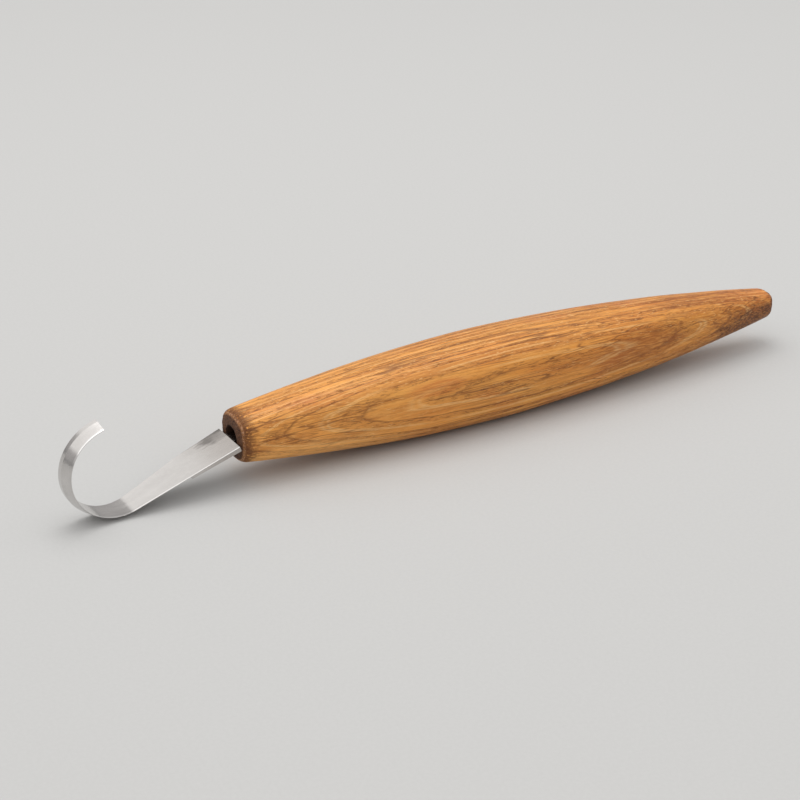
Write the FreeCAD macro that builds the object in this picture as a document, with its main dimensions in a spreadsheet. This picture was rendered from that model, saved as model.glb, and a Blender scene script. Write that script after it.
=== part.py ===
"""Hook knife: a bent, bevelled blade whose tang is bonded into the bore of a one-piece oak handle.

Frame: the handle's axis runs along X, with the hook at -X and the tail at +X.  The cutting edge
faces -Y and +Z is up.  The knife lies as on a bench: the bottom of the hook and the belly of the
handle both touch z = 0, and the origin is below the middle of the whole knife.  Sizes are in
millimetres and degrees.
"""

import FreeCAD, Part
import math
import os

import Sketcher
from FreeCAD import Placement, Rotation, Vector

OUT_FOLDER = "parts"

# Driving dimensions, one spreadsheet row each.
SIZES = {
    # handle, measured from its mouth (the end that the blade leaves) along its axis
    "handle_length": 206.0,
    "swell_station": 86.0,
    "mouth_half_width": 8.0,
    "mouth_half_height": 7.5,
    "swell_half_width": 14.4,
    "swell_half_height": 14.0,
    "tail_half_width": 4.6,
    "tail_half_height": 4.5,
    "mouth_curve_power": 1.76,
    "tail_curve_power": 1.97,
    "mouth_rounding": 2.6,
    "tail_rounding": 2.9,
    "crown_ratio": 2.0,
    "corner_ratio": 0.66,
    # bore round the tang, and the adhesive in it
    "tang_clearance": 0.4,
    "bore_end_gap": 5.0,
    "adhesive_recess": 4.0,
    # blade, measured along its centreline from where the shank meets the tang
    "blade_thickness": 1.6,
    "shank_length": 36.4,
    "bend_radius": 15.3,
    "bend_turn": 179.0,
    "tip_length": 1.5,
    "shoulder_gap": 0.2,
    # the cutting edge stays in one plane, this far from the handle's axis; the spine tapers to it
    "edge_reach": 7.4,
    "width_at_shoulder": 14.4,
    "width_at_bevel_start": 13.2,
    "width_at_mid_bend": 6.6,
    "mid_bend_turn": 93.0,
    "width_at_tip": 5.2,
    # grind
    "bevel_start": 17.5,
    "bevel_share": 0.66,
    "edge_land": 0.15,
    "square_edge_at_shoulder": 1.5,
    "square_edge_at_bevel": 0.95,
    # tang
    "tang_width": 5.6,
    "tang_length": 47.0,
    "tang_root": 5.0,
    "tang_drop": 0.6,
    "tang_bend_radius": 6.0,
}

# Values worked out from the driving dimensions, as spreadsheet formulas.
DERIVED = {
    # the shank slopes down until the hook touches the plane that the handle's belly rests on
    "shank_fall": "swell_half_height - tang_drop - blade_thickness / 2",
    "shank_slope": "atan2(bend_radius; shank_length) + asin((shank_fall - bend_radius)"
                   " / sqrt(shank_length ^ 2 + bend_radius ^ 2))",
    "hook_reach": "shank_length * cos(shank_slope) + bend_radius * sin(shank_slope)"
                  " + bend_radius + blade_thickness / 2",
    "mouth_x": "(hook_reach - handle_length) / 2",
    # the lower corner of the sloping shoulder is the one nearest the handle
    "shoulder_station": "(shoulder_gap + blade_thickness / 2 * sin(shank_slope)) / cos(shank_slope)",
    "bore_diameter": "2 * (sqrt((tang_width / 2) ^ 2 + (tang_drop + blade_thickness / 2) ^ 2)"
                     " + tang_clearance)",
    "bore_depth": "tang_length + bore_end_gap",
}

HANDLE_STATIONS_TO_SWELL = (0.0, 0.2, 0.45, 0.72, 1.0)
HANDLE_STATIONS_TO_TAIL = (0.3, 0.58, 0.82, 1.0)

XZ = "XZ_Plane"
YZ = "YZ_Plane"
START, END, CENTRE = 1, 2, 3
ORIGIN_POINT = (-1, 1)
HORIZONTAL_AXIS = -1
VERTICAL_AXIS = -2


# ---------------------------------------------------------------------------- sheet and bodies


def make_sheet(doc):
    """The spreadsheet of sizes: a label, a value and an alias on each row."""
    sheet = doc.addObject("Spreadsheet::Sheet", "sizes")
    formulas = {alias: "=" + formula for alias, formula in DERIVED.items()}
    rows = {**{alias: str(value) for alias, value in SIZES.items()}, **formulas}
    for row, (alias, content) in enumerate(rows.items(), start=1):
        sheet.set(f"A{row}", alias.replace("_", " "))
        sheet.set(f"B{row}", content)
        sheet.setAlias(f"B{row}", alias)
    doc.recompute()
    return sheet


def make_body(doc, name, placement_formulas):
    """A body whose label is its node's name, placed by formulas."""
    body = doc.addObject("PartDesign::Body", name)
    body.Label = name
    for path, formula in placement_formulas.items():
        body.setExpression(path, formula)
    return body


def make_sketch(body, name, plane, offset=None, rotation=None):
    """A sketch on one of the body's own origin planes, with bound offsets and rotation."""
    sketch = body.newObject("Sketcher::SketchObject", name)
    support = next(f for f in body.Origin.OriginFeatures if f.Role == plane)
    sketch.AttachmentSupport = [(support, "")]
    sketch.MapMode = "FlatFace"
    if rotation is not None:
        axis, formula = rotation
        sketch.AttachmentOffset = Placement(Vector(), Rotation(axis, 1))
        sketch.setExpression("AttachmentOffset.Rotation.Angle", formula)
    for axis_name, formula in (offset or {}).items():
        sketch.setExpression(f"AttachmentOffset.Base.{axis_name}", formula)
    return sketch


def dimension(sketch, kind, references, value, name, formula):
    """A named driving constraint that takes its value from a formula."""
    index = sketch.addConstraint(Sketcher.Constraint(kind, *references, value))
    sketch.renameConstraint(index, name)
    sketch.setExpression(f"Constraints.{name}", formula)


def join_ends(sketch, pairs, kind="Coincident"):
    """Join the end of each first edge to the start of the second one."""
    for first, second in pairs:
        sketch.addConstraint(Sketcher.Constraint(kind, first, END, second, START))


# --------------------------------------------------------------------------------- handle


def swept_formula(side, station_share, end, power):
    """Half-size of the handle at a share of the way from the swell to one end."""
    swell = f"sizes.swell_half_{side}"
    drop = f"({swell} - sizes.{end}_half_{side})"
    return f"{swell} - {drop} * pow({station_share}; sizes.{power})"


def handle_sections():
    """Station, half-width and half-height formulas from the mouth to the tail."""
    sides = ("width", "height")
    for share in HANDLE_STATIONS_TO_SWELL:
        station = f"sizes.swell_station * {share}"
        yield station, *(swept_formula(side, 1 - share, "mouth", "mouth_curve_power") for side in sides)
    for share in HANDLE_STATIONS_TO_TAIL:
        station = f"sizes.swell_station + (sizes.handle_length - sizes.swell_station) * {share}"
        yield station, *(swept_formula(side, share, "tail", "tail_curve_power") for side in sides)


def handle_outline(body, index, station, half_width, half_height):
    """A soft-cornered oval: four crowned sides joined by four corner arcs, all tangent."""
    sketch = make_sketch(body, f"handle_section_{index}", YZ, {"z": station})
    crown = SIZES["crown_ratio"]
    corner = SIZES["corner_ratio"]
    # for a square oval of half-size 1, each corner's centre is this far out along both axes
    rise = crown - 1
    centre = (math.sqrt(2 * (crown - corner) ** 2 - rise ** 2) - rise) / 2
    side_span = math.atan2(centre, centre + rise)
    size = SIZES["swell_half_height"]
    for quarter in range(4):
        turn = Rotation(Vector(0, 0, 1), 90 * quarter)
        side_middle = math.pi / 2 * (quarter + 1)
        side_centre = turn.multVec(Vector(0, -rise, 0)) * size
        side_circle = Part.Circle(side_centre, Vector(0, 0, 1), crown * size)
        sketch.addGeometry(Part.ArcOfCircle(side_circle, side_middle - side_span, side_middle + side_span))
        corner_centre = turn.multVec(Vector(-centre, centre, 0)) * size
        corner_circle = Part.Circle(corner_centre, Vector(0, 0, 1), corner * size)
        corner_end = side_middle + math.pi / 2 - side_span
        sketch.addGeometry(Part.ArcOfCircle(corner_circle, side_middle + side_span, corner_end))
    join_ends(sketch, [(edge, (edge + 1) % 8) for edge in range(8)], kind="Tangent")
    top, left, bottom, right = 0, 2, 4, 6
    for arc, opposite, axis in ((top, bottom, VERTICAL_AXIS), (right, left, HORIZONTAL_AXIS)):
        sketch.addConstraint(Sketcher.Constraint("PointOnObject", arc, CENTRE, axis))
        sketch.addConstraint(Sketcher.Constraint("Symmetric", arc, CENTRE, opposite, CENTRE, *ORIGIN_POINT))
        sketch.addConstraint(Sketcher.Constraint("Equal", arc, opposite))
    for corner_arc in (3, 5, 7):
        sketch.addConstraint(Sketcher.Constraint("Equal", 1, corner_arc))
    for kind, arc, half_size, side in (("DistanceY", top, half_height, "top"),
                                       ("DistanceX", right, half_width, "side")):
        dimension(sketch, kind, (arc, CENTRE, *ORIGIN_POINT), rise * size, f"{side}_drop",
                  f"(sizes.crown_ratio - 1) * ({half_size})")
        dimension(sketch, "Radius", (arc,), crown * size, f"{side}_crown",
                  f"sizes.crown_ratio * ({half_size})")
    dimension(sketch, "Radius", (1,), corner * size, "corner",
              f"sizes.corner_ratio * ({half_height})")
    return sketch


def end_edges(shape, station):
    """Names of the outer edges that lie in the plane at one station of the body's X axis."""
    close = 1e-4
    return [
        f"Edge{number}"
        for number, edge in enumerate(shape.Edges, start=1)
        if abs(edge.BoundBox.XMin - station) < close and abs(edge.BoundBox.XMax - station) < close
    ]


def round_end(doc, body, base, name, station, radius_formula):
    """Round over the rim of one end face."""
    fillet = body.newObject("PartDesign::Fillet", name)
    fillet.Base = (base, end_edges(base.Shape, station))
    fillet.setExpression("Radius", radius_formula)
    doc.recompute()
    return fillet


def make_handle(doc, sheet):
    """One piece of oak: a spindle fullest nearer the mouth, rounded at both ends, bored for the tang."""
    body = make_body(doc, "handle", {
        "Placement.Base.x": "sizes.mouth_x",
        "Placement.Base.z": "sizes.swell_half_height",
    })
    sections = [
        handle_outline(body, index, *formulas)
        for index, formulas in enumerate(handle_sections())
    ]
    doc.recompute()
    spindle = body.newObject("PartDesign::AdditiveLoft", "spindle")
    spindle.Profile = sections[-1]
    spindle.Sections = sections[-2::-1]
    spindle.Ruled = False
    doc.recompute()
    mouth = round_end(doc, body, spindle, "mouth_round", 0.0, "sizes.mouth_rounding")
    round_end(doc, body, mouth, "tail_round", sheet.handle_length, "sizes.tail_rounding")
    circle = bore_circle(body, "bore_outline", None)
    bore = body.newObject("PartDesign::Pocket", "bore")
    bore.Profile = circle
    bore.Reversed = True
    bore.setExpression("Length", "sizes.bore_depth")
    doc.recompute()
    return body


def bore_circle(body, name, offset):
    """The bore's circle, square to the handle's axis."""
    sketch = make_sketch(body, name, YZ, offset)
    start_radius = SIZES["tang_width"] / 2 + SIZES["tang_clearance"]
    sketch.addGeometry(Part.Circle(Vector(), Vector(0, 0, 1), start_radius))
    sketch.addConstraint(Sketcher.Constraint("Coincident", 0, CENTRE, *ORIGIN_POINT))
    dimension(sketch, "Diameter", (0,), 2 * start_radius, "bore", "sizes.bore_diameter")
    return sketch


# ------------------------------------------------------------------------------- adhesive


def tang_section(body, name, offset):
    """The tang's rectangular section, square to the X axis."""
    sketch = make_sketch(body, name, YZ, offset)
    half_width = SIZES["tang_width"] / 2
    half_thickness = SIZES["blade_thickness"] / 2
    corners = [
        Vector(side * half_width, end * half_thickness, 0)
        for side, end in ((-1, -1), (1, -1), (1, 1), (-1, 1))
    ]
    for index, corner in enumerate(corners):
        sketch.addGeometry(Part.LineSegment(corner, corners[(index + 1) % 4]))
    join_ends(sketch, [(edge, (edge + 1) % 4) for edge in range(4)])
    bottom, right, top, left = range(4)
    for edge in (bottom, top):
        sketch.addConstraint(Sketcher.Constraint("Horizontal", edge))
    for edge in (right, left):
        sketch.addConstraint(Sketcher.Constraint("Vertical", edge))
    sketch.addConstraint(Sketcher.Constraint("Symmetric", bottom, START, top, START, *ORIGIN_POINT))
    dimension(sketch, "DistanceX", (bottom, START, bottom, END), 2 * half_width, "width",
              "sizes.tang_width")
    dimension(sketch, "DistanceY", (right, START, right, END), 2 * half_thickness, "thickness",
              "sizes.blade_thickness")
    return sketch


def make_adhesive(doc):
    """The resin that fills the bore round the tang, from below the open mouth to the bore's end."""
    body = make_body(doc, "tang_adhesive", {
        "Placement.Base.x": "sizes.mouth_x",
        "Placement.Base.z": "sizes.swell_half_height",
    })
    front = {"z": "sizes.adhesive_recess"}
    circle = bore_circle(body, "resin_outline", front)
    resin = body.newObject("PartDesign::Pad", "resin")
    resin.Profile = circle
    resin.setExpression("Length", "sizes.bore_depth - sizes.adhesive_recess")
    doc.recompute()
    slot = tang_section(body, "tang_slot_outline", {**front, "y": "-sizes.tang_drop"})
    tang_slot = body.newObject("PartDesign::Pocket", "tang_slot")
    tang_slot.Profile = slot
    tang_slot.Reversed = True
    tang_slot.setExpression("Length", "sizes.tang_length - sizes.adhesive_recess")
    doc.recompute()
    return body


# ---------------------------------------------------------------------------------- blade


def strip_section(body, name, width, land, offset, rotation=None):
    """Five-sided section: flat inner face, square spine, and a bevel ground on the outer face."""
    sketch = make_sketch(body, name, YZ, offset, rotation)
    reach = SIZES["edge_reach"]
    half_thickness = SIZES["blade_thickness"] / 2
    spine_reach = SIZES["width_at_shoulder"] - reach
    bevel_end = SIZES["bevel_share"] * SIZES["width_at_shoulder"] - reach
    corners = [
        Vector(-reach, half_thickness, 0),
        Vector(-reach, 0, 0),
        Vector(bevel_end, -half_thickness, 0),
        Vector(spine_reach, -half_thickness, 0),
        Vector(spine_reach, half_thickness, 0),
    ]
    for index, corner in enumerate(corners):
        sketch.addGeometry(Part.LineSegment(corner, corners[(index + 1) % len(corners)]))
    join_ends(sketch, [(line, (line + 1) % len(corners)) for line in range(len(corners))])
    edge, ground, outer, spine, inner = range(5)
    for line in (edge, spine):
        sketch.addConstraint(Sketcher.Constraint("Vertical", line))
    for line in (outer, inner):
        sketch.addConstraint(Sketcher.Constraint("Horizontal", line))
    dimension(sketch, "DistanceX", (edge, START, *ORIGIN_POINT), reach, "edge_reach", "sizes.edge_reach")
    dimension(sketch, "DistanceX", (edge, START, spine, END), reach + spine_reach, "width", width)
    dimension(sketch, "DistanceX", (ground, START, ground, END), reach + bevel_end, "bevel",
              f"sizes.bevel_share * {width}")
    dimension(sketch, "DistanceY", (*ORIGIN_POINT, inner, START), half_thickness, "inner_face",
              "sizes.blade_thickness / 2")
    dimension(sketch, "DistanceY", (spine, START, spine, END), 2 * half_thickness, "thickness",
              "sizes.blade_thickness")
    dimension(sketch, "DistanceY", (edge, END, edge, START), half_thickness, "land", land)
    return sketch


def past_shank(turn, run):
    """Offset and rotation of a section after part of the bend and then a straight run."""
    x = f"-sizes.shank_length - sizes.bend_radius * sin({turn}) - {run} * cos({turn})"
    z = f"sizes.bend_radius * (1 - cos({turn})) + {run} * sin({turn})"
    return {"z": x, "y": z}, (Vector(1, 0, 0), turn)


def hook_spine(body):
    """Centreline of the sharpened length: along the shank, round the bend, and on to the tip."""
    sketch = make_sketch(body, "hook_centreline", XZ)
    start = SIZES["bevel_start"]
    shank = SIZES["shank_length"]
    radius = SIZES["bend_radius"]
    turn = math.radians(SIZES["bend_turn"])
    tip = SIZES["tip_length"]
    bend_end = Vector(-shank - radius * math.sin(turn), radius - radius * math.cos(turn), 0)
    tip_end = bend_end + Vector(-math.cos(turn), math.sin(turn), 0) * tip
    circle = Part.Circle(Vector(-shank, radius, 0), Vector(0, 0, 1), radius)
    bottom = -math.pi / 2
    sketch.addGeometry(Part.LineSegment(tip_end, bend_end))
    sketch.addGeometry(Part.ArcOfCircle(circle, bottom - turn, bottom))
    sketch.addGeometry(Part.LineSegment(Vector(-shank, 0, 0), Vector(-start, 0, 0)))
    join_ends(sketch, [(0, 1), (1, 2)], kind="Tangent")
    sketch.addConstraint(Sketcher.Constraint("Horizontal", 2))
    sketch.addConstraint(Sketcher.Constraint("PointOnObject", 2, END, HORIZONTAL_AXIS))
    dimension(sketch, "DistanceX", (2, END, *ORIGIN_POINT), start, "start", "sizes.bevel_start")
    dimension(sketch, "DistanceX", (2, START, *ORIGIN_POINT), shank, "shank", "sizes.shank_length")
    dimension(sketch, "Radius", (1,), radius, "bend", "sizes.bend_radius")
    dimension(sketch, "Angle", (1,), turn, "turn", "sizes.bend_turn")
    dimension(sketch, "Distance", (0,), tip, "tip", "sizes.tip_length")
    return sketch


def tang_spine(body, slope):
    """Centreline of the tang: off the shank, round a small bend, and level into the bore."""
    sketch = make_sketch(body, "tang_centreline", XZ)
    root = SIZES["tang_root"]
    radius = SIZES["tang_bend_radius"]
    length = SIZES["tang_length"]
    level = Vector(math.cos(slope), -math.sin(slope), 0)
    bend_run = radius * math.tan(slope / 2)
    circle = Part.Circle(Vector(-bend_run, -radius, 0), Vector(0, 0, 1), radius)
    sketch.addGeometry(Part.LineSegment(level * length, level * bend_run))
    sketch.addGeometry(Part.ArcOfCircle(circle, math.pi / 2 - slope, math.pi / 2))
    sketch.addGeometry(Part.LineSegment(Vector(-bend_run, 0, 0), Vector(-root, 0, 0)))
    join_ends(sketch, [(0, 1), (1, 2)], kind="Tangent")
    sketch.addConstraint(Sketcher.Constraint("Horizontal", 2))
    sketch.addConstraint(Sketcher.Constraint("PointOnObject", 2, END, HORIZONTAL_AXIS))
    sketch.addConstraint(Sketcher.Constraint("PointOnObject", *ORIGIN_POINT, 0))
    dimension(sketch, "DistanceX", (2, END, *ORIGIN_POINT), root, "root", "sizes.tang_root")
    dimension(sketch, "Radius", (1,), radius, "bend", "sizes.tang_bend_radius")
    dimension(sketch, "Angle", (1,), slope, "slope", "sizes.shank_slope")
    dimension(sketch, "Distance", (0, START, *ORIGIN_POINT), length, "length", "sizes.tang_length")
    return sketch


def make_blade(doc, sheet):
    """One forged piece: a level tang, a sloping square-edged shank, and the sharpened hook."""
    body = make_body(doc, "hook_blade", {
        "Placement.Base.x": "sizes.mouth_x",
        "Placement.Base.z": "sizes.swell_half_height - sizes.tang_drop",
    })
    body.Placement = Placement(Vector(), Rotation(Vector(0, -1, 0), 1))
    body.setExpression("Placement.Rotation.Angle", "sizes.shank_slope")

    bevel_start = {"z": "-sizes.bevel_start"}
    shoulder_section = strip_section(body, "shoulder_section", "sizes.width_at_shoulder",
                                     "sizes.square_edge_at_shoulder", {"z": "-sizes.shoulder_station"})
    square_end_section = strip_section(body, "square_end_section", "sizes.width_at_bevel_start",
                                       "sizes.square_edge_at_bevel", bevel_start)
    shank = body.newObject("PartDesign::AdditiveLoft", "shank")
    shank.Profile = shoulder_section
    shank.Sections = [square_end_section]
    shank.Ruled = True
    doc.recompute()

    bevel_section = strip_section(body, "bevel_start_section", "sizes.width_at_bevel_start",
                                  "sizes.edge_land", bevel_start)
    mid_section = strip_section(body, "mid_bend_section", "sizes.width_at_mid_bend", "sizes.edge_land",
                                *past_shank("sizes.mid_bend_turn", "0"))
    tip_section = strip_section(body, "tip_section", "sizes.width_at_tip", "sizes.edge_land",
                                *past_shank("sizes.bend_turn", "sizes.tip_length"))
    hook = body.newObject("PartDesign::AdditivePipe", "hook")
    hook.Spine = (hook_spine(body), [])
    hook.Profile = bevel_section
    hook.Sections = [mid_section, tip_section]
    hook.Transformation = "Multisection"
    doc.recompute()

    tang = body.newObject("PartDesign::AdditivePipe", "tang")
    tang.Spine = (tang_spine(body, math.radians(sheet.shank_slope.Value)), [])
    tang.Profile = tang_section(body, "tang_section", {"z": "-sizes.tang_root"})
    doc.recompute()
    return body


# ---------------------------------------------------------------------------------- output


def check(doc, bodies):
    """Stop if any object failed or any sub-part isn't one valid solid."""
    for item in doc.Objects:
        faults = {"Invalid", "Error"} & set(item.State)
        if faults:
            raise RuntimeError(f"{item.Name}: {sorted(faults)}")
    for body in bodies:
        shape = body.Shape
        if shape.isNull() or not shape.isValid() or len(shape.Solids) != 1:
            raise RuntimeError(f"{body.Label}: not one valid solid")


def main():
    doc = FreeCAD.newDocument("hook_knife")
    sheet = make_sheet(doc)
    bodies = [make_handle(doc, sheet), make_blade(doc, sheet), make_adhesive(doc)]
    doc.recompute()
    check(doc, bodies)
    os.makedirs(OUT_FOLDER, exist_ok=True)
    for body in bodies:
        body.Shape.exportStep(os.path.join(OUT_FOLDER, f"{body.Label}.step"))
        box = body.Shape.BoundBox
        print(f"{body.Label}: volume {body.Shape.Volume:.1f} box {box}")


main()
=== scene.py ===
"""Looks of the hook knife: an oiled oak handle, a satin steel hook blade and the resin round its tang.

Everything is in metres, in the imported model's own frame: the handle's axis runs along X with the
hook at -X, the cutting edge faces -Y and +Z is up. Inside the materials, places are in millimetres.
"""

import math

import bmesh
import bpy
import numpy as np
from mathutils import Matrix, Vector, noise
from mathutils.bvhtree import BVHTree


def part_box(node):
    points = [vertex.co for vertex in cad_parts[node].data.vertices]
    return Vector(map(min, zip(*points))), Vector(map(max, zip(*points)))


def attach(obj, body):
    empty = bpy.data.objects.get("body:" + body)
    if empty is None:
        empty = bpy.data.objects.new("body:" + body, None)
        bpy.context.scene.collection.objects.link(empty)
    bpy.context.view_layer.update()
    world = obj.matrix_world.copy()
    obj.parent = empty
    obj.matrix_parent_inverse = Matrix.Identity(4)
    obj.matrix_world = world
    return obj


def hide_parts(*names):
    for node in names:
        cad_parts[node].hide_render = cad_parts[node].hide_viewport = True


MM = 0.001
FULL_TURN = 2 * math.pi

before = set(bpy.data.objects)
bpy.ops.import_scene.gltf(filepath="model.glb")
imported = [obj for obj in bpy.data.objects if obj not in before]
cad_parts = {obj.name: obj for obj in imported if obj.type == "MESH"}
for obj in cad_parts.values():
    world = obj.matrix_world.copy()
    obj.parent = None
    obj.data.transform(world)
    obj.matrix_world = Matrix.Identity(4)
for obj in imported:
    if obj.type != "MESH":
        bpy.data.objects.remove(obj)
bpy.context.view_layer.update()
handle_low, handle_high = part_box("handle")
bore_low, bore_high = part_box("tang_adhesive")
blade_low, blade_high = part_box("hook_blade")

AXIS_HEIGHT = (handle_low.z + handle_high.z) / 2
MOUTH_X = handle_low.x
TAIL_X = handle_high.x
BORE_RADIUS = (bore_high.y - bore_low.y) / 2
BORE_END_X = bore_high.x

# Blade path, as in the CAD: a straight shank that slopes down to a round hook.
BLADE_THICKNESS = 1.6 * MM
HOOK_RADIUS = 15.3 * MM
SHANK_LENGTH = 36.4 * MM
SHANK_SLOPE = math.radians(18.877)
SHANK_TOP = Vector((MOUTH_X, 0.0, 13.4 * MM))
HOOK_CENTRE_X = blade_low.x + HOOK_RADIUS + BLADE_THICKNESS / 2
HOOK_CENTRE_Z = HOOK_RADIUS + BLADE_THICKNESS / 2
BEVEL_START = 17.5 * MM

# Blade mesh: the round on its arrises, and how much of it the cutting edge keeps.
ARRIS_ROUND = 0.28 * MM
ARRIS_ANGLE = math.radians(12)
FLAT_ANGLE = math.radians(0.4)
EDGE_BAND = 0.3 * MM
EDGE_SHARE = 0.2

# Handle mesh: columns round the axis, and rows over the mouth, along the barrel and over the tail.
AROUND = 208
MOUTH_ROWS = 30
BARREL_ROWS = 318
TAIL_ROWS = 20
BORE_ROWS = 12
MOUTH_DEPTH = 8 * MM
TAIL_DEPTH = 5 * MM
RAY_REACH = 60 * MM
BORE_RIM = 0.12 * MM
BORE_LIP = 0.1 * MM
TAIL_CROWN = 0.02 * MM

# Growth rings, in millimetres: the pith runs in front of the handle and leans a little.
PITH_Y = -29.5
PITH_Z = 19.0
PITH_LEAN = 0.014
RING_WIDTH = 2.5

# Patches in the oak, in millimetres: a centre and its reach along x, y and z.
RED_PATCHES = (
    ((57.0, 5.0, 25.0), (11.0, 4.0, 4.0)),
    ((38.0, 1.0, 27.0), (10.0, 3.0, 4.0)),
    ((-38.0, -7.0, 21.0), (24.0, 4.0, 4.0)),
    ((118.0, -1.0, 16.0), (26.0, 8.0, 8.0)),
)
BROWN_PATCHES = (
    ((66.0, -11.0, 15.0), (30.0, 7.0, 7.0)),
    ((96.0, -2.0, 22.0), (30.0, 6.0, 6.0)),
)
# Painted light: a brighter patch on the near side of the handle by the mouth.
SIDE_LIGHT_PATCH = ((-42.0, -6.0, 8.0), (50.0, 8.0, 7.0))
DARK_PATCH = ((119.0, -6.0, 11.5), (28.0, 6.0, 7.0))

# Painted shade on the steel beside the mouth, in the same form.
MOUTH_SHADE_PATCH = ((MOUTH_X / MM - 3.0, 4.6, 12.4), (8.0, 4.2, 7.0))

# Oak colours
RED_GOLD = (0.66, 0.228, 0.036)
GOLD = (0.70, 0.272, 0.048)
YELLOW_GOLD = (0.72, 0.315, 0.062)
# The next two stand in for light: painted light towards the mouth, painted shade towards the tail
PAINTED_LIGHT_GOLD = (0.90, 0.42, 0.100)
PAINTED_SHADE_GOLD = (0.56, 0.200, 0.026)
RUSSET = (0.52, 0.135, 0.030)
BAND_BROWN = (0.42, 0.138, 0.024)
LIGHT_FIBRE = (0.86, 0.42, 0.110)
PORE_SHADE = (0.36, 0.120, 0.026)
CREAM = (0.88, 0.54, 0.22)
RING_BROWN = (0.19, 0.058, 0.014)
VEIN_BROWN = (0.17, 0.052, 0.012)
PORE_BROWN = (0.17, 0.054, 0.012)
OLD_BROWN = (0.30, 0.088, 0.016)
# painted light on the near side by the mouth
SIDE_LIGHT_GOLD = (0.98, 0.52, 0.170)
TAIL_DARK = (0.115, 0.036, 0.010)
TORN_DARK = (0.120, 0.038, 0.012)
END_GRAIN_DARK = (0.040, 0.016, 0.008)
END_GRAIN_BROWN = (0.175, 0.078, 0.038)
WORN_TAN = (0.66, 0.36, 0.20)
# painted shade in the bore
BORE_SHADE = (0.030, 0.013, 0.008)

# Steel colours
STEEL_DULL = (0.585, 0.565, 0.550)
STEEL_CLEAR = (0.650, 0.630, 0.615)
GRINDING_DARK = (0.45, 0.430, 0.415)
CROSS_LIGHT = (0.74, 0.72, 0.70)
# Painted shade by the handle's mouth: the next three colours
SHOULDER_SHADE = (0.42, 0.385, 0.355)
MOUTH_SHADE_GREY = (0.17, 0.155, 0.145)
FAR_EDGE_SHADE = (0.16, 0.15, 0.14)
# Painted highlight on the near arris
ARRIS_HIGHLIGHT = (0.95, 0.94, 0.93)


# ------------------------------------------------------------------------------ node helpers


class Graph:
    """Short calls that add shader nodes to one tree."""

    def __init__(self, tree):
        self.tree = tree
        tree.nodes.clear()

    def node(self, kind, **settings):
        made = self.tree.nodes.new(kind)
        for name, value in settings.items():
            setattr(made, name, value)
        return made

    def feed(self, socket, value):
        """Link an output to a socket, or set a plain value on it."""
        if isinstance(value, bpy.types.NodeSocket):
            self.tree.links.new(value, socket)
        else:
            socket.default_value = value

    def math(self, operation, *values):
        made = self.node("ShaderNodeMath", operation=operation)
        for index, value in enumerate(values):
            self.feed(made.inputs[index], value)
        return made.outputs[0]

    def times(self, first, second):
        return self.math("MULTIPLY", first, second)

    def larger(self, first, second):
        return self.math("MAXIMUM", first, second)

    def vector(self, operation, *values):
        made = self.node("ShaderNodeVectorMath", operation=operation)
        for index, value in enumerate(values):
            self.feed(made.inputs[index], value)
        return made.outputs["Value"] if operation == "LENGTH" else made.outputs[0]

    def scaled(self, vector, scale):
        return self.vector("MULTIPLY", vector, scale)

    def parts(self, vector):
        made = self.node("ShaderNodeSeparateXYZ")
        self.feed(made.inputs[0], vector)
        return made.outputs

    def joined(self, x, y, z):
        made = self.node("ShaderNodeCombineXYZ")
        for index, value in enumerate((x, y, z)):
            self.feed(made.inputs[index], value)
        return made.outputs[0]

    def noise(self, vector, scale=1.0, detail=2.0, roughness=0.5, distortion=0.0):
        made = self.node("ShaderNodeTexNoise")
        self.feed(made.inputs["Vector"], vector)
        self.feed(made.inputs["Scale"], scale)
        self.feed(made.inputs["Detail"], detail)
        self.feed(made.inputs["Roughness"], roughness)
        self.feed(made.inputs["Distortion"], distortion)
        return made.outputs["Fac"]

    def grain(self, place, along, across, **settings):
        """Noise drawn out along X, with its waves per millimetre along and across the grain."""
        return self.noise(self.scaled(place, (along, across, across)), **settings)

    def fit(self, value, low, high, to_low=0.0, to_high=1.0):
        """Map value smoothly from low..high to to_low..to_high, held at both ends."""
        made = self.node("ShaderNodeMapRange", interpolation_type="SMOOTHSTEP")
        names = ("Value", "From Min", "From Max", "To Min", "To Max")
        for name, number in zip(names, (value, low, high, to_low, to_high)):
            self.feed(made.inputs[name], number)
        return made.outputs[0]

    def ramp(self, value, stops):
        """Colour or grey along value. Stops are (position, colour or grey)."""
        made = self.node("ShaderNodeValToRGB")
        elements = made.color_ramp.elements
        while len(elements) < len(stops):
            elements.new(0.5)
        for element, (position, colour) in zip(elements, stops):
            element.position = position
            element.color = (*colour, 1.0) if isinstance(colour, tuple) else (colour, colour, colour, 1.0)
        self.feed(made.inputs[0], value)
        return made.outputs[0]

    def mix(self, share, first, second):
        """Mix two colours. A colour is a socket or (r, g, b)."""
        made = self.node("ShaderNodeMix", data_type="RGBA")
        colours = [socket for socket in made.inputs if socket.type == "RGBA"]
        self.feed(made.inputs["Factor"], share)
        for socket, colour in zip(colours, (first, second)):
            self.feed(socket, (*colour, 1.0) if isinstance(colour, tuple) else colour)
        return next(socket for socket in made.outputs if socket.type == "RGBA")

    def tinted(self, base, mask, share, tint):
        """The base with a share of the tint laid over it where the mask is 1."""
        return self.mix(self.times(mask, share), base, tint)

    def bump(self, height, distance, strength, normal=None):
        made = self.node("ShaderNodeBump")
        self.feed(made.inputs["Height"], height)
        self.feed(made.inputs["Distance"], distance)
        self.feed(made.inputs["Strength"], strength)
        if normal is not None:
            self.feed(made.inputs["Normal"], normal)
        return made.outputs[0]

    def attribute(self, name):
        return self.node("ShaderNodeAttribute", attribute_name=name).outputs["Fac"]

    def millimetres(self):
        """Place on the object, in millimetres."""
        coordinates = self.node("ShaderNodeTexCoord").outputs["Object"]
        return self.scaled(coordinates, (1 / MM, 1 / MM, 1 / MM))


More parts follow.
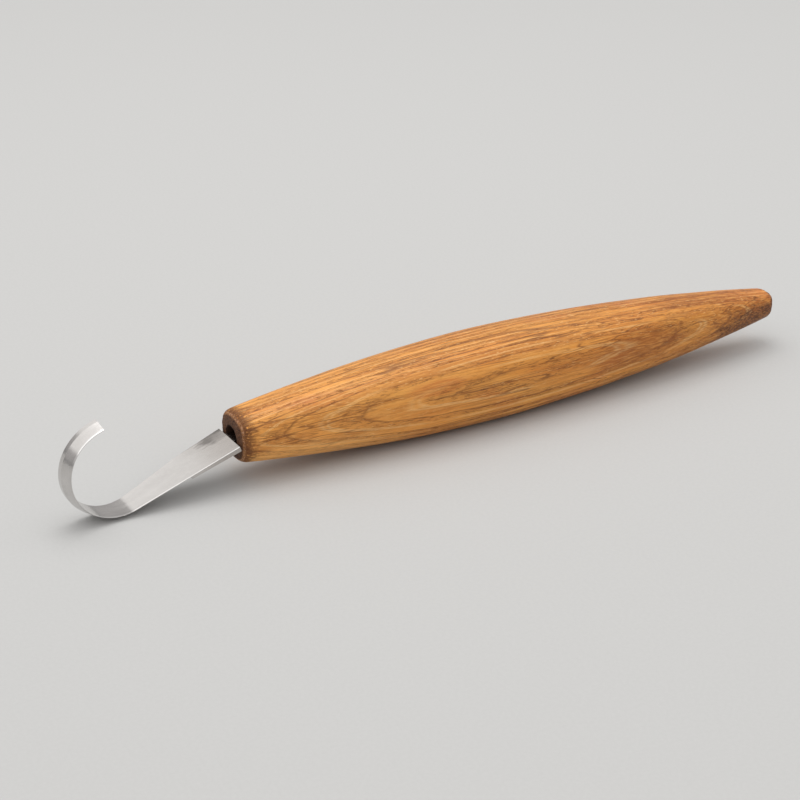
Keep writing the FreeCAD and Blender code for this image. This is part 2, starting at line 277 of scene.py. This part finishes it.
def new_material(name):
    """A material with an empty tree, its Principled shader linked to the output."""
    material = bpy.data.materials.new(name)
    material.use_nodes = True
    graph = Graph(material.node_tree)
    output = graph.node("ShaderNodeOutputMaterial")
    shader = graph.node("ShaderNodeBsdfPrincipled")
    graph.feed(output.inputs["Surface"], shader.outputs[0])
    return material, graph, shader


def near_place(g, place, patch, frayed):
    """1 near a patch's centre, fading out over its reach, with an edge frayed along X."""
    centre, reach = patch
    offset = g.vector("SUBTRACT", place, centre)
    gap = g.vector("LENGTH", g.vector("DIVIDE", offset, reach))
    fray = g.grain(place, 0.06, 0.9, detail=2.0)
    return g.fit(g.math("MULTIPLY_ADD", fray, frayed * 2, gap), 0.5 + frayed, 1.0 + frayed, 1.0, 0.0)


# -------------------------------------------------------------------------------------- oak


def oak_rings(g, place):
    """Growth rings round the pith: each ring's porous zone, dark line and pale lines."""
    x, y, z = g.parts(place)
    from_pith_y = g.math("SUBTRACT", g.math("SUBTRACT", y, g.times(x, PITH_LEAN)), PITH_Y)
    from_pith_z = g.math("SUBTRACT", z, PITH_Z)
    bent = g.vector("LENGTH", g.joined(0.0, from_pith_y, from_pith_z))

    slow = g.grain(place, 0.008, 0.045, detail=1.0)
    wavy = g.grain(place, 0.030, 0.14)
    ragged = g.grain(place, 0.06, 0.9, roughness=0.6)
    for wander, reach in ((slow, 2.4), (wavy, 1.3), (ragged, 0.35)):
        bent = g.math("MULTIPLY_ADD", wander, reach, bent)
    uneven = g.noise(g.joined(g.times(bent, 0.2), 0.0, 0.0), detail=1.0)
    rings = g.math("MULTIPLY_ADD", uneven, 2.0, g.math("DIVIDE", bent, RING_WIDTH))
    phase = g.math("FRACT", rings)

    pore_zone = g.ramp(phase, [(0.0, 1.0), (0.30, 0.8), (0.50, 0.05), (0.95, 0.0), (1.0, 0.95)])
    dark_line = g.ramp(phase, [(0.0, 0.9), (0.04, 0.0), (0.91, 0.0), (0.98, 1.0)])
    pale_lines = g.ramp(phase, [(0.46, 0.0), (0.495, 1.0), (0.53, 0.1), (0.57, 0.9), (0.62, 0.0)])
    shown = g.fit(g.grain(place, 0.03, 0.12, detail=1.0), 0.34, 0.56)
    return pore_zone, g.times(dark_line, shown), g.times(pale_lines, shown)


def oak_veins(g, place):
    """Fine dark lines that slant a little to the grain, each between two fainter ones."""
    x, y, z = g.parts(place)
    slanted_y = g.math("MULTIPLY_ADD", x, 0.010, g.times(y, 0.34))
    level = g.noise(g.joined(g.times(x, 0.006), slanted_y, g.times(z, 0.34)), roughness=0.45)
    veins = 0.0
    for crossing, width, strength in ((0.5, 0.026, 1.0), (0.58, 0.018, 0.6), (0.42, 0.018, 0.6)):
        gap = g.math("ABSOLUTE", g.math("SUBTRACT", level, crossing))
        veins = g.larger(veins, g.fit(gap, 0.0, width, strength, 0.0))
    shown = g.fit(g.grain(place, 0.025, 0.2), 0.36, 0.52)
    return g.times(veins, shown)


def oak_ground(g, place):
    """The oiled gold under the figure, russet in places; paler to the mouth and browner to the tail as
    painted light and shade.
    """
    x = g.parts(place)[0]
    field = g.grain(place, 0.02, 0.09)
    base = g.ramp(field, [(0.34, RED_GOLD), (0.5, GOLD), (0.66, YELLOW_GOLD)])
    # painted light and shade: lighter towards the mouth, darker towards the tail
    base = g.mix(g.fit(x, -70.0, 40.0, 0.55, 0.0), base, PAINTED_LIGHT_GOLD)
    base = g.mix(g.fit(x, 10.0, 110.0, 0.0, 0.45), base, PAINTED_SHADE_GOLD)
    red_field = g.fit(g.grain(place, 0.03, 0.10, detail=1.0), 0.60, 0.72)
    for patch in RED_PATCHES:
        red_field = g.larger(red_field, near_place(g, place, patch, 0.4))
    return g.tinted(base, red_field, 0.55, RUSSET)


def oak_patches(g, place, fibre, base):
    """Browner patches, a patch of painted light on the near side by the mouth, and the dark speckled one
    on the tail.
    """
    streaks = g.fit(fibre, 0.35, 0.60, 0.70, 0.30)
    for patch in BROWN_PATCHES:
        base = g.tinted(base, near_place(g, place, patch, 0.4), streaks, OLD_BROWN)
    # painted light on the near side by the mouth
    base = g.tinted(base, near_place(g, place, SIDE_LIGHT_PATCH, 0.4), 0.42, SIDE_LIGHT_GOLD)
    speckle = g.fit(g.grain(place, 0.8, 2.4), 0.42, 0.58, 0.50, 0.95)
    return g.tinted(base, near_place(g, place, DARK_PATCH, 0.5), speckle, TAIL_DARK)


def oak_end_grain(g, place, base):
    """End grain drinks the oil and goes dark: the face, its worn rim and torn streaks past the rim.

    Gives the colour, the mask of the dark end grain and the noise that roughens it. The attribute
    end_grain says how squarely the surface faces along the grain.
    """
    x, y, z = g.parts(place)
    facing = g.attribute("end_grain")
    end_noise = g.grain(place, 1.3, 2.2, detail=3.0, roughness=0.7)
    hatch = g.grain(place, 0.6, 1.8, detail=3.0, roughness=0.8, distortion=0.5)
    near_mouth = g.fit(g.math("SUBTRACT", x, MOUTH_X / MM), 1.5, 6.5, 0.6, 0.0)

    torn_more = g.larger(g.fit(facing, 0.20, 0.75, 0.0, 0.16), g.times(near_mouth, 0.24))
    torn_share = g.larger(g.fit(facing, 0.18, 0.42), g.times(near_mouth, 1.6))
    torn = g.fit(g.math("ADD", hatch, torn_more), 0.49, 0.60)
    streaked = g.times(torn, g.math("MINIMUM", torn_share, 1.0))
    base = g.tinted(base, streaked, 0.88, TORN_DARK)

    faced = g.fit(g.math("MULTIPLY_ADD", end_noise, 0.16, facing), 0.90, 1.0)
    face_colour = g.mix(g.fit(end_noise, 0.35, 0.65), END_GRAIN_DARK, END_GRAIN_BROWN)
    base = g.tinted(base, faced, 0.95, face_colour)

    rim = g.times(g.fit(facing, 0.58, 0.72), g.fit(facing, 0.80, 0.92, 1.0, 0.0))
    base = g.tinted(base, g.times(rim, g.fit(hatch, 0.45, 0.56)), 0.60, WORN_TAN)

    # painted shade in the bore: its wall and a thin ring round it at the mouth go dark
    off_axis = g.vector("LENGTH", g.joined(0.0, y, g.math("SUBTRACT", z, AXIS_HEIGHT / MM)))
    bore_radius, bore_end = BORE_RADIUS / MM, BORE_END_X / MM
    shade_in_bore = g.fit(off_axis, bore_radius + 0.05, bore_radius + 0.45, 0.92, 0.0)
    shade_in_bore = g.times(shade_in_bore, g.fit(x, bore_end, bore_end + 2.0, 1.0, 0.0))
    return g.mix(shade_in_bore, base, BORE_SHADE), g.larger(streaked, faced), end_noise


def oak_material():
    """Oiled oak in the solid: growth rings, veins, pores, flecks, patches and dark end grain."""
    material, g, shader = new_material("oiled_oak")
    place = g.millimetres()
    pore_zone, dark_line, pale_lines = oak_rings(g, place)

    # fibres, pores and flecks, all long along the grain; the flecks are ray flecks with a painted
    # highlight
    fibre = g.grain(place, 0.05, 1.9, detail=3.0, roughness=0.7)
    band = g.grain(place, 0.007, 0.34, detail=3.0, roughness=0.6)
    pores = g.fit(g.grain(place, 0.30, 3.0, roughness=0.65), 0.53, 0.61)
    dashes = g.times(pores, g.math("MULTIPLY_ADD", pore_zone, 0.75, 0.25))
    fleck_noise = g.noise(g.scaled(place, (0.55, 1.3, 4.2)), detail=1.0)
    flecks_and_glints = g.times(g.fit(fleck_noise, 0.63, 0.70), g.fit(band, 0.44, 0.56))

    base = oak_ground(g, place)
    base = g.mix(g.fit(band, 0.42, 0.60, 0.0, 0.55), base, BAND_BROWN)
    base = g.mix(g.fit(fibre, 0.42, 0.64, 0.0, 0.45), base, LIGHT_FIBRE)
    base = g.tinted(base, pore_zone, 0.24, PORE_SHADE)
    base = g.tinted(base, pale_lines, 0.72, CREAM)
    base = g.tinted(base, dark_line, 0.60, RING_BROWN)
    base = g.tinted(base, oak_veins(g, place), 0.68, VEIN_BROWN)
    base = g.tinted(base, dashes, 0.55, PORE_BROWN)
    # the ray flecks, paler than the wood, with a painted highlight on them
    base = g.tinted(base, flecks_and_glints, 0.45, CREAM)
    base = oak_patches(g, place, fibre, base)
    base, end_mask, end_noise = oak_end_grain(g, place, base)
    g.feed(shader.inputs["Base Color"], base)

    gloss = g.math("MULTIPLY_ADD", dashes, 0.22, g.fit(fibre, 0.3, 0.7, 0.36, 0.50))
    g.feed(shader.inputs["Roughness"], g.math("MULTIPLY_ADD", end_mask, 0.2, gloss))
    shader.inputs["Specular IOR Level"].default_value = 0.28
    shader.inputs["Coat Weight"].default_value = 0.05
    shader.inputs["Coat Roughness"].default_value = 0.32

    height = g.math("MULTIPLY_ADD", dashes, -1.0, g.times(fibre, 0.35))
    height = g.math("MULTIPLY_ADD", g.times(end_mask, end_noise), 1.6, height)
    g.feed(shader.inputs["Normal"], g.bump(height, 0.10 * MM, 0.8))
    return material


# -------------------------------------------------------------------------- other materials


def steel_material():
    """Satin steel, ground along the blade: painted shade by the mouth, painted highlight on the near edge.
    """
    material, g, shader = new_material("satin_steel")
    place = g.millimetres()
    y = g.parts(place)[1]
    along = g.times(g.attribute("along_blade"), 1 / MM)
    ground = g.joined(g.times(along, 0.35), g.times(y, 7.0), 0.0)
    lines = g.noise(ground, detail=3.0, roughness=0.65)
    cross = g.joined(g.times(along, 2.6), g.times(y, 0.35), 4.0)
    cross_lines = g.noise(cross)
    cloud = g.grain(place, 0.10, 0.22, detail=3.0, roughness=0.55)

    tone = g.mix(g.fit(cloud, 0.3, 0.7), STEEL_DULL, STEEL_CLEAR)
    tone = g.mix(g.fit(lines, 0.45, 0.75, 0.0, 0.22), tone, GRINDING_DARK)
    tone = g.mix(g.fit(cross_lines, 0.5, 0.75, 0.0, 0.15), tone, CROSS_LIGHT)
    # painted shade: the steel darkens towards the shoulder, by the handle's mouth
    tone = g.mix(g.fit(along, 0.0, 20.0, 0.75, 0.0), tone, SHOULDER_SHADE)
    # painted shade on the top face by the mouth, towards the far side
    mouth_shade = near_place(g, place, MOUTH_SHADE_PATCH, 0.45)
    tone = g.tinted(tone, mouth_shade, g.fit(cloud, 0.35, 0.65, 0.40, 0.85), MOUTH_SHADE_GREY)

    # painted shade along the far edge, which only reaches that far out by the mouth
    far_y = blade_high.y / MM
    shade_on_far_edge = g.fit(y, far_y - 1.3, far_y - 0.5, 0.0, 0.75)
    tone = g.tinted(tone, shade_on_far_edge, g.fit(lines, 0.35, 0.6, 0.5, 1.0), FAR_EDGE_SHADE)
    near_y = blade_low.y / MM
    near_edge = g.fit(y, near_y + 0.15, near_y + 0.65, 1.0, 0.0)
    # painted highlight on the upward-facing part of the near arris
    normal = g.node("ShaderNodeNewGeometry").outputs["Normal"]
    highlight_on_arris = g.times(near_edge, g.fit(g.parts(normal)[2], 0.25, 0.55))
    tone = g.tinted(tone, highlight_on_arris, g.fit(cloud, 0.3, 0.7, 0.75, 1.0), ARRIS_HIGHLIGHT)
    g.feed(shader.inputs["Base Color"], tone)
    shader.inputs["Metallic"].default_value = 1.0

    rough = g.math("MULTIPLY_ADD", lines, 0.06, g.fit(cloud, 0.3, 0.7, 0.13, 0.19))
    g.feed(shader.inputs["Roughness"], rough)
    fine = g.bump(g.math("MULTIPLY_ADD", cross_lines, 0.4, lines), 0.006 * MM, 0.5)
    g.feed(shader.inputs["Normal"], g.bump(cloud, 0.10 * MM, 0.6, fine))
    return material


def resin_material():
    """Dark set adhesive with dust in it."""
    material, g, shader = new_material("set_resin")
    grit = g.grain(g.millimetres(), 1.4, 1.4, detail=4.0, roughness=0.7)
    tone = g.mix(g.fit(grit, 0.35, 0.7), (0.012, 0.009, 0.007), (0.055, 0.036, 0.022))
    g.feed(shader.inputs["Base Color"], tone)
    g.feed(shader.inputs["Roughness"], g.fit(grit, 0.3, 0.7, 0.35, 0.7))
    g.feed(shader.inputs["Normal"], g.bump(grit, 0.25 * MM, 0.7))
    return material


def paper_material():
    """Matt pale background paper."""
    material, g, shader = new_material("pale_paper")
    metres = g.node("ShaderNodeTexCoord").outputs["Object"]
    tooth = g.noise(metres, scale=900.0, detail=3.0)
    tone = g.mix(g.fit(tooth, 0.3, 0.7), (0.508, 0.508, 0.504), (0.520, 0.520, 0.516))
    g.feed(shader.inputs["Base Color"], tone)
    shader.inputs["Roughness"].default_value = 0.95
    shader.inputs["Specular IOR Level"].default_value = 0.1
    return material


# ------------------------------------------------------------------------------------ handle


def unit_circle():
    """Across and up for each column round the axis."""
    turns = np.arange(AROUND) * FULL_TURN / AROUND
    return np.cos(turns), np.sin(turns)


def cast_rows(tree, rows):
    """Points on the CAD surface, found from outside: one row of rays for each (centre x, tilt)."""
    across, up = unit_circle()
    points = np.empty((len(rows), AROUND, 3))
    for number, (centre_x, tilt) in enumerate(rows):
        centre = Vector((centre_x, 0.0, AXIS_HEIGHT))
        flat, lean = math.cos(tilt), math.sin(tilt)
        for column in range(AROUND):
            direction = Vector((lean, flat * across[column], flat * up[column]))
            points[number, column] = tree.ray_cast(centre + direction * RAY_REACH, -direction)[0]
    return points


def relaxed(points, around_passes, along_passes):
    """Even out the CAD mesh's small flats; the first and last rows stay."""
    for _ in range(around_passes):
        points = (np.roll(points, 1, axis=1) + 2 * points + np.roll(points, -1, axis=1)) / 4
    for _ in range(along_passes):
        inner = (points[:-2] + 2 * points[1:-1] + points[2:]) / 4
        points = np.concatenate([points[:1], inner, points[-1:]])
    return points


def grid_normals(points):
    """Outward normals of a grid whose rows run from the mouth to the tail."""
    along = np.gradient(points, axis=0)
    around = np.roll(points, -1, axis=1) - np.roll(points, 1, axis=1)
    normals = np.cross(around, along)
    return normals / np.linalg.norm(normals, axis=2, keepdims=True)


def relief(point, facing):
    """Height that hand finishing and the grain add to the surface, in metres."""
    x, y, z = (value / MM for value in point)
    tool_marks = noise.noise(Vector((x * 0.05, y * 0.16, z * 0.16)))
    fibres = noise.noise(Vector((x * 0.08, y * 0.9, z * 0.9)))
    torn = noise.fractal(Vector((x * 0.9, y * 1.1, z * 1.1)), 0.8, 2.0, 3)
    return (0.10 * tool_marks + 0.018 * fibres + 0.14 * facing * torn) * MM


def handle_skin():
    """Rows over the handle from mouth to tail, and how squarely each point faces along the grain."""
    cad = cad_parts["handle"].data
    tree = BVHTree.FromPolygons([v.co for v in cad.vertices], [p.vertices for p in cad.polygons])
    mouth_centre = MOUTH_X + MOUTH_DEPTH
    tail_centre = TAIL_X - TAIL_DEPTH
    rim_tilt = math.atan2(MOUTH_DEPTH, BORE_RADIUS + BORE_RIM)
    barrel_step = (tail_centre - mouth_centre) / BARREL_ROWS
    mouth = [(mouth_centre, -rim_tilt * (1 - step / MOUTH_ROWS)) for step in range(MOUTH_ROWS)]
    barrel = [(mouth_centre + barrel_step * step, 0.0) for step in range(BARREL_ROWS)]
    tail = [(tail_centre, math.pi / 2 * step / TAIL_ROWS) for step in range(TAIL_ROWS)]
    skin = relaxed(cast_rows(tree, mouth + barrel + tail), around_passes=8, along_passes=5)

    normals = grid_normals(skin)
    facings = np.abs(normals[..., 0])
    heights = np.array([
        [relief(point, facing) for point, facing in zip(row, row_facings)]
        for row, row_facings in zip(skin, facings)
    ])
    return skin + normals * heights[..., None], facings


def bore_skin():
    """Rows along the bore's wall, from its end to the mouth."""
    across, up = unit_circle()
    rows = []
    for station in np.linspace(BORE_END_X, MOUTH_X + BORE_LIP, BORE_ROWS):
        ring = (np.full(AROUND, station), BORE_RADIUS * across, AXIS_HEIGHT + BORE_RADIUS * up)
        rows.append(np.stack(ring, 1))
    return np.array(rows)


def closed_mesh(name, rows, first_middle, last_middle):
    """A mesh over rows of points, closed at both ends by fans round a middle point."""
    points = [tuple(point) for point in rows.reshape(-1, 3)]
    first = len(points)
    last = first + 1
    points += [first_middle, last_middle]
    last_row = (len(rows) - 1) * AROUND
    faces = []
    for column in range(AROUND):
        following = (column + 1) % AROUND
        faces.append((first, column, following))
        faces.append((last, last_row + following, last_row + column))
        for here in range(0, last_row, AROUND):
            there = here + AROUND
            faces.append((here + column, there + column, there + following, here + following))
    mesh = bpy.data.meshes.new(name)
    mesh.from_pydata(points, [], faces)
    bm = bmesh.new()
    bm.from_mesh(mesh)
    bmesh.ops.recalc_face_normals(bm, faces=bm.faces)
    bm.to_mesh(mesh)
    bm.free()
    mesh.shade_smooth()
    return mesh


def make_handle():
    """The oak handle as one closed fine mesh on the CAD surface, its bore included."""
    skin, facings = handle_skin()
    bore = bore_skin()
    bore_middle = (BORE_END_X, 0.0, AXIS_HEIGHT)
    tail_middle = tuple(skin[-1].mean(axis=0) + np.array([TAIL_CROWN, 0, 0]))
    mesh = closed_mesh("oak_handle", np.concatenate([bore, skin]), bore_middle, tail_middle)

    end_grain = np.concatenate([np.ones(BORE_ROWS * AROUND), facings.reshape(-1), [1.0, 1.0]])
    layer = mesh.attributes.new("end_grain", "FLOAT", "POINT")
    layer.data.foreach_set("value", end_grain.astype(np.float32))
    piece = bpy.data.objects.new("oak_handle", mesh)
    bpy.context.scene.collection.objects.link(piece)
    piece.data.materials.append(oak_material())
    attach(piece, "root")
    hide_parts("handle")


# ------------------------------------------------------------------------------------- blade


def distance_along_blade(point):
    """Distance from the shank's top, along the shank and then round the hook."""
    run = (SHANK_TOP.x - point.x) * math.cos(SHANK_SLOPE) + (SHANK_TOP.z - point.z) * math.sin(SHANK_SLOPE)
    if run < SHANK_LENGTH:
        return run
    turned = math.atan2(HOOK_CENTRE_X - point.x, HOOK_CENTRE_Z - point.z) + SHANK_SLOPE
    return SHANK_LENGTH + HOOK_RADIUS * (turned % FULL_TURN)


def on_cutting_edge(point):
    """Whether a point lies on the ground edge of the blade, past the start of its bevel."""
    return point.y < blade_low.y + EDGE_BAND and distance_along_blade(point) > BEVEL_START


def make_blade():
    """The blade from its CAD mesh, with every arris broken by a fine round, finest on the edge."""
    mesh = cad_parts["hook_blade"].data.copy()
    mesh.name = "steel_blade"
    mesh.materials.clear()
    bm = bmesh.new()
    bm.from_mesh(mesh)
    bmesh.ops.remove_doubles(bm, verts=bm.verts, dist=0.002 * MM)
    bmesh.ops.dissolve_limit(bm, angle_limit=FLAT_ANGLE, verts=bm.verts, edges=bm.edges)
    weights = bm.edges.layers.float.new("bevel_weight_edge")
    for edge in bm.edges:
        edge.smooth = True
        if len(edge.link_faces) == 2 and edge.calc_face_angle() > ARRIS_ANGLE:
            middle = (edge.verts[0].co + edge.verts[1].co) / 2
            edge[weights] = EDGE_SHARE if on_cutting_edge(middle) else 1.0
    bm.to_mesh(mesh)
    bm.free()
    if "custom_normal" in mesh.attributes:
        mesh.attributes.remove(mesh.attributes["custom_normal"])
    mesh.shade_smooth()
    along = mesh.attributes.new("along_blade", "FLOAT", "POINT")
    along.data.foreach_set("value", [distance_along_blade(v.co) for v in mesh.vertices])

    piece = bpy.data.objects.new("steel_blade", mesh)
    bpy.context.scene.collection.objects.link(piece)
    rounding = piece.modifiers.new("broken_arrises", "BEVEL")
    rounding.limit_method = "WEIGHT"
    rounding.width = ARRIS_ROUND
    rounding.segments = 3
    rounding.harden_normals = True
    rounding.use_clamp_overlap = True
    piece.data.materials.append(steel_material())
    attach(piece, "root")
    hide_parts("hook_blade")


def finish_adhesive():
    """The adhesive keeps its CAD mesh and takes the resin."""
    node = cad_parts["tang_adhesive"]
    node.data.materials.clear()
    node.data.materials.append(resin_material())


# ------------------------------------------------------------------------------------- stage


def make_floor():
    """A sheet of pale paper, large enough for every view."""
    reach = 4.0
    mesh = bpy.data.meshes.new("floor")
    corners = [(-reach, -reach, 0.0), (reach, -reach, 0.0), (reach, reach, 0.0), (-reach, reach, 0.0)]
    mesh.from_pydata(corners, [], [(0, 1, 2, 3)])
    floor = bpy.data.objects.new("floor", mesh)
    bpy.context.scene.collection.objects.link(floor)
    floor.data.materials.append(paper_material())


def light_studio():
    """A grey wall, a pale tent that is open low down beyond the tail, and a soft box overhead."""
    world = bpy.data.worlds.new("studio")
    bpy.context.scene.world = world
    world.use_nodes = True
    g = Graph(world.node_tree)
    x, y, z = g.parts(g.node("ShaderNodeTexCoord").outputs["Generated"])
    wall = g.mix(g.fit(z, 0.02, 0.15), (0.30, 0.30, 0.30), (0.48, 0.47, 0.465))
    cloth = g.mix(g.fit(z, 0.65, 0.95), (1.12, 1.11, 1.095), (1.30, 1.29, 1.275))
    gap = g.times(g.fit(x, 0.030, 0.085), g.fit(z, 0.60, 0.68, 1.0, 0.0))
    gap = g.times(gap, g.fit(y, 0.0, 0.2))
    tent = g.times(g.fit(z, 0.36, 0.46), g.math("SUBTRACT", 1.0, gap))
    background = g.node("ShaderNodeBackground")
    g.feed(background.inputs["Color"], g.mix(tent, wall, cloth))
    output = g.node("ShaderNodeOutputWorld")
    g.feed(output.inputs["Surface"], background.outputs[0])

    box = bpy.data.lights.new("soft_box", "AREA")
    box.shape = "SQUARE"
    box.size = 0.6
    box.energy = 2.8
    box.color = (1.0, 0.99, 0.975)
    lamp = bpy.data.objects.new("soft_box", box)
    lamp.location = (0.05, 0.22, 0.97)
    lamp.rotation_euler.x = -math.atan2(lamp.location.y, lamp.location.z)
    bpy.context.scene.collection.objects.link(lamp)


def aim_camera():
    """A long lens, a quarter above the bench and turned towards the hook."""
    azimuth, elevation = math.radians(-30.47), math.radians(25.70)
    distance = 654.4 * MM
    target = Vector((-3.99 * MM, 21.47 * MM, 0.0))
    back = Vector((
        math.sin(azimuth) * math.cos(elevation),
        -math.cos(azimuth) * math.cos(elevation),
        math.sin(elevation),
    ))
    lens = bpy.data.cameras.new("camera")
    lens.lens = 90.0
    lens.sensor_width = 36.0
    lens.clip_start = 0.01
    camera = bpy.data.objects.new("camera", lens)
    camera.location = target + back * distance
    camera.rotation_euler = (-back).to_track_quat("-Z", "Y").to_euler()
    bpy.context.scene.collection.objects.link(camera)
    bpy.context.scene.camera = camera


make_handle()
make_blade()
finish_adhesive()
make_floor()
light_studio()
aim_camera()
bpy.context.scene.view_settings.view_transform = "Standard"
